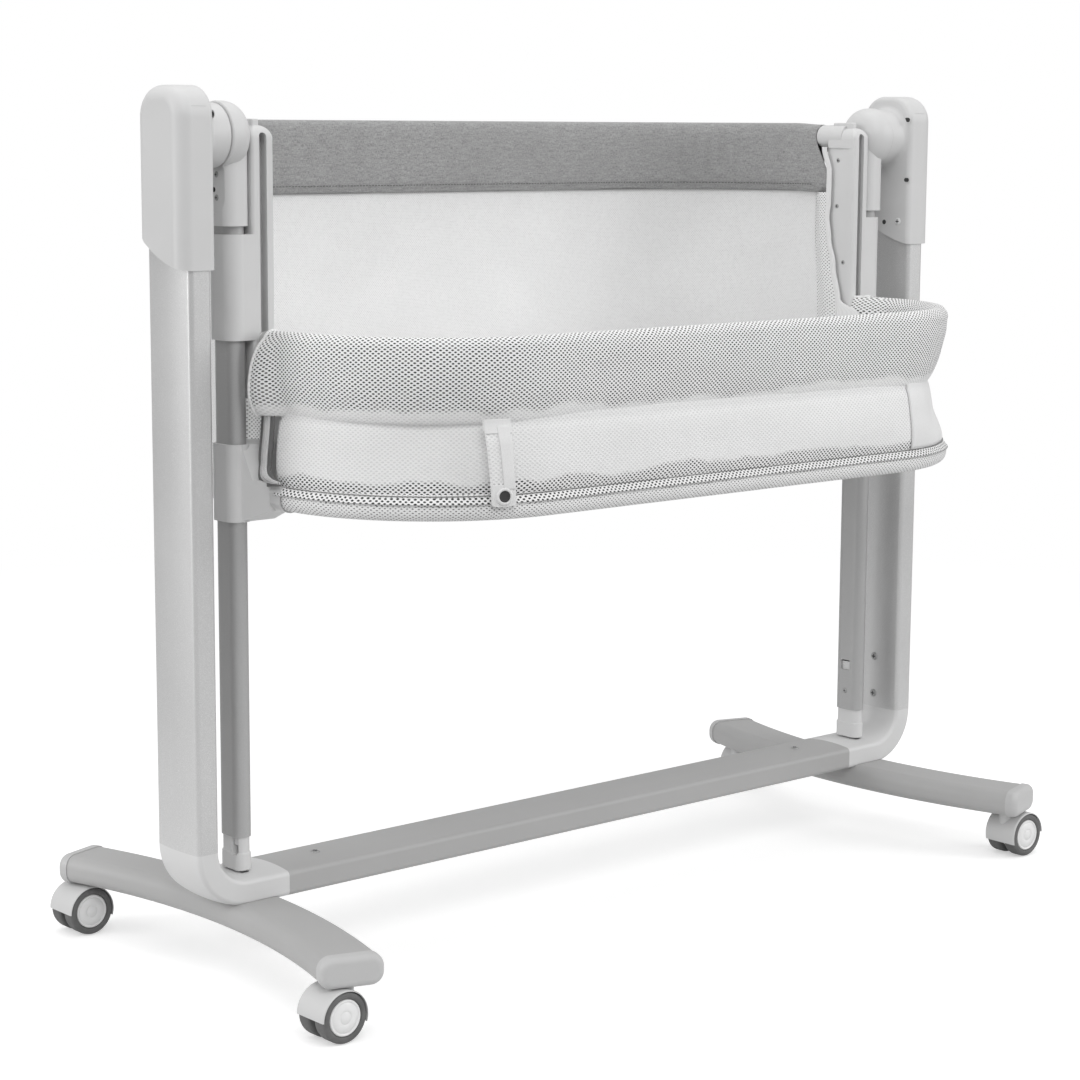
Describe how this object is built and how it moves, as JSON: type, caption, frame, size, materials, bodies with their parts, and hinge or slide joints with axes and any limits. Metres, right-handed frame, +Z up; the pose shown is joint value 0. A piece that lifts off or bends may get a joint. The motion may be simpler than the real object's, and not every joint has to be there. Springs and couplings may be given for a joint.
{
  "type": "bedside sleeper crib",
  "caption": "Bedside sleeper crib: a mesh basket with a low drop side, hung to swing between two uprights on curved feet with twin-wheel casters.",
  "frame": {"origin": "floor level under the middle of the crib", "axes": "X along the crossbar, Y from the bed side towards the high mesh side, Z up"},
  "size_m": [1.066, 0.5028, 0.88],
  "materials": {
    "grey_metal": "satin grey powder coat",
    "satin_metal": "fine silver metallic coat",
    "light_plastic": "light grey moulded plastic, fine grain",
    "white_plastic": "white moulded plastic, semi-gloss",
    "bare_steel": "plated steel",
    "bush_nylon": "natural nylon",
    "tyre_grey": "dark grey soft tread over a white hub",
    "white_mesh": "white spacer mesh",
    "grey_melange": "grey melange woven cloth",
    "board_plastic": "stiff white board",
    "white_cotton": "white knitted mattress cover"
  },
  "bodies": {
    "base": {"crossbar": "grey_metal", "left_elbow": "light_plastic", "right_elbow": "light_plastic", "left_foot": "grey_metal", "right_foot": "grey_metal", "foot_caps": "white_plastic", "left_upright": "satin_metal", "right_upright": "satin_metal", "frame_screws": "bare_steel", "left_head_outer": "light_plastic", "right_head_outer": "light_plastic", "left_head_inner": "light_plastic", "right_head_inner": "light_plastic", "pivot_axles": "bare_steel"},
    "cradle": {"left_hanger": "light_plastic", "right_hanger": "light_plastic", "pivot_bushes": "bush_nylon", "left_post": "grey_metal", "right_post": "grey_metal", "left_post_foot": "light_plastic", "right_post_foot": "light_plastic", "cradle_screws": "bare_steel"},
    "left_lock": {"left_swing_lock": "light_plastic"},
    "right_lock": {"right_swing_lock": "light_plastic"},
    "basket": {"left_side_plate": "light_plastic", "right_side_plate": "light_plastic", "left_lower_bracket": "light_plastic", "right_lower_bracket": "light_plastic", "bottom_frame_front": "grey_metal", "bottom_frame_rear": "grey_metal", "top_rail": "grey_metal", "floor_sling": "white_mesh", "mattress_board": "board_plastic", "mattress": "white_cotton", "rear_mesh": "white_mesh", "grey_band": "grey_melange", "lower_front_mesh": "white_mesh"},
    "left_button": {"left_release_button": "light_plastic"},
    "right_button": {"right_release_button": "light_plastic"},
    "drop_side": {"front_rail": "grey_metal", "left_rail_shoe": "light_plastic", "right_rail_shoe": "light_plastic", "front_band": "white_mesh", "front_strap": "white_mesh"},
    "caster_front_left": {"caster_front_left_housing": "white_plastic", "caster_front_left_pins": "bare_steel"},
    "wheel_front_left_a": {"caster_front_left_wheel_a": "tyre_grey"},
    "wheel_front_left_b": {"caster_front_left_wheel_b": "tyre_grey"},
    "caster_front_right": {"caster_front_right_housing": "white_plastic", "caster_front_right_pins": "bare_steel"},
    "wheel_front_right_a": {"caster_front_right_wheel_a": "tyre_grey"},
    "wheel_front_right_b": {"caster_front_right_wheel_b": "tyre_grey"},
    "caster_back_left": {"caster_back_left_housing": "white_plastic", "caster_back_left_pins": "bare_steel"},
    "wheel_back_left_a": {"caster_back_left_wheel_a": "tyre_grey"},
    "wheel_back_left_b": {"caster_back_left_wheel_b": "tyre_grey"},
    "caster_back_right": {"caster_back_right_housing": "white_plastic", "caster_back_right_pins": "bare_steel"},
    "wheel_back_right_a": {"caster_back_right_wheel_a": "tyre_grey"},
    "wheel_back_right_b": {"caster_back_right_wheel_b": "tyre_grey"}
  },
  "joints": [
    {"name": "cradle_swing", "type": "hinge", "parent": "base", "child": "cradle", "pos_m": [0, 0, 0.833], "axis": [1, 0, 0], "range_deg": [-7, 7]},
    {"name": "basket_height", "type": "slide", "parent": "cradle", "child": "basket", "axis": [0, 0, 1], "range_m": [-0.21, 0]},
    {"name": "front_rail_lift", "type": "slide", "parent": "basket", "child": "drop_side", "axis": [0, 0, 1], "range_m": [0, 0.19], "deforming": ["lower_front_mesh"]},
    {"name": "left_swing_lock", "type": "slide", "parent": "cradle", "child": "left_lock", "axis": [0, 0, 1], "range_m": [-0.008, 0]},
    {"name": "right_swing_lock", "type": "slide", "parent": "cradle", "child": "right_lock", "axis": [0, 0, 1], "range_m": [-0.008, 0]},
    {"name": "left_release", "type": "slide", "parent": "basket", "child": "left_button", "axis": [0, 0, 1], "range_m": [-0.004, 0], "stiffness_N_per_m": 900},
    {"name": "right_release", "type": "slide", "parent": "basket", "child": "right_button", "axis": [0, 0, 1], "range_m": [-0.004, 0], "stiffness_N_per_m": 900},
    {"name": "front_left_swivel", "type": "hinge", "parent": "base", "child": "caster_front_left", "pos_m": [-0.48398, -0.221, 0.052], "axis": [0, 0, 1], "continuous": true},
    {"name": "front_left_wheel_a", "type": "hinge", "parent": "caster_front_left", "child": "wheel_front_left_a", "pos_m": [-0.49898, -0.221, 0.025], "axis": [0, 1, 0], "continuous": true},
    {"name": "front_left_wheel_b", "type": "hinge", "parent": "caster_front_left", "child": "wheel_front_left_b", "pos_m": [-0.49898, -0.221, 0.025], "axis": [0, 1, 0], "continuous": true},
    {"name": "front_right_swivel", "type": "hinge", "parent": "base", "child": "caster_front_right", "pos_m": [0.48398, -0.221, 0.052], "axis": [0, 0, 1], "continuous": true},
    {"name": "front_right_wheel_a", "type": "hinge", "parent": "caster_front_right", "child": "wheel_front_right_a", "pos_m": [0.49898, -0.221, 0.025], "axis": [0, 1, 0], "continuous": true},
    {"name": "front_right_wheel_b", "type": "hinge", "parent": "caster_front_right", "child": "wheel_front_right_b", "pos_m": [0.49898, -0.221, 0.025], "axis": [0, 1, 0], "continuous": true},
    {"name": "back_left_swivel", "type": "hinge", "parent": "base", "child": "caster_back_left", "pos_m": [-0.48398, 0.221, 0.052], "axis": [0, 0, 1], "continuous": true},
    {"name": "back_left_wheel_a", "type": "hinge", "parent": "caster_back_left", "child": "wheel_back_left_a", "pos_m": [-0.49898, 0.221, 0.025], "axis": [0, 1, 0], "continuous": true},
    {"name": "back_left_wheel_b", "type": "hinge", "parent": "caster_back_left", "child": "wheel_back_left_b", "pos_m": [-0.49898, 0.221, 0.025], "axis": [0, 1, 0], "continuous": true},
    {"name": "back_right_swivel", "type": "hinge", "parent": "base", "child": "caster_back_right", "pos_m": [0.48398, 0.221, 0.052], "axis": [0, 0, 1], "continuous": true},
    {"name": "back_right_wheel_a", "type": "hinge", "parent": "caster_back_right", "child": "wheel_back_right_a", "pos_m": [0.49898, 0.221, 0.025], "axis": [0, 1, 0], "continuous": true},
    {"name": "back_right_wheel_b", "type": "hinge", "parent": "caster_back_right", "child": "wheel_back_right_b", "pos_m": [0.49898, 0.221, 0.025], "axis": [0, 1, 0], "continuous": true}
  ]
}
